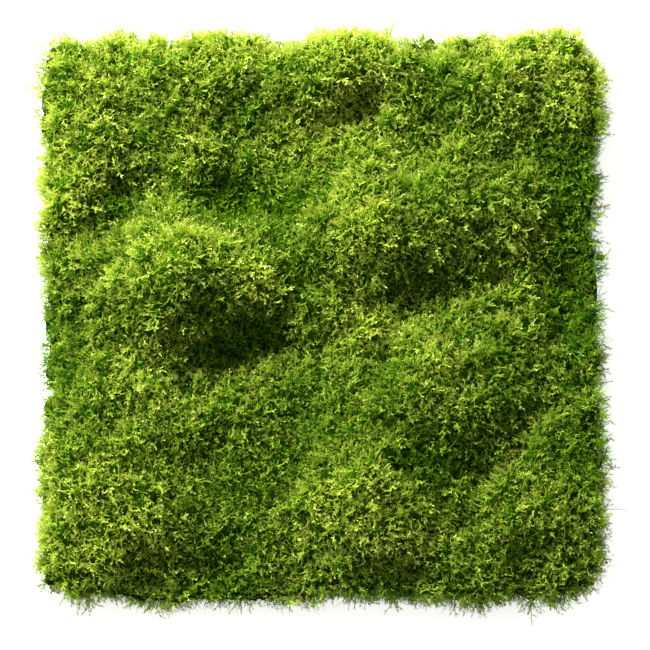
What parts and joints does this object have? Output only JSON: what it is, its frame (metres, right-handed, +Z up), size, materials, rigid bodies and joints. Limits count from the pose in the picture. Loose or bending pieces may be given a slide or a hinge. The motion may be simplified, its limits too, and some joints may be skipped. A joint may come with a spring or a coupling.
{
  "type": "moss clump",
  "caption": "Square mat of living feather moss with low hummocks on a thin brown base of old stems and humus, flat underneath to rest on any surface.",
  "frame": {"origin": "middle of the clump's outline, on the surface that it rests on", "axes": "+Z up out of the moss, +X to the right and +Y to the back edge as seen from above, with the tall round mound on the -X side"},
  "size_m": [0.3054, 0.313, 0.0579],
  "materials": {
    "green_moss": "matt, soft and springy living moss, yellow-green at the tips and dark green between the shoots",
    "brown_base": "matt brown, a felt of old moss stems with dark humus"
  },
  "bodies": {
    "root": {"green_moss": "green_moss", "brown_base": "brown_base"}
  },
  "joints": []
}
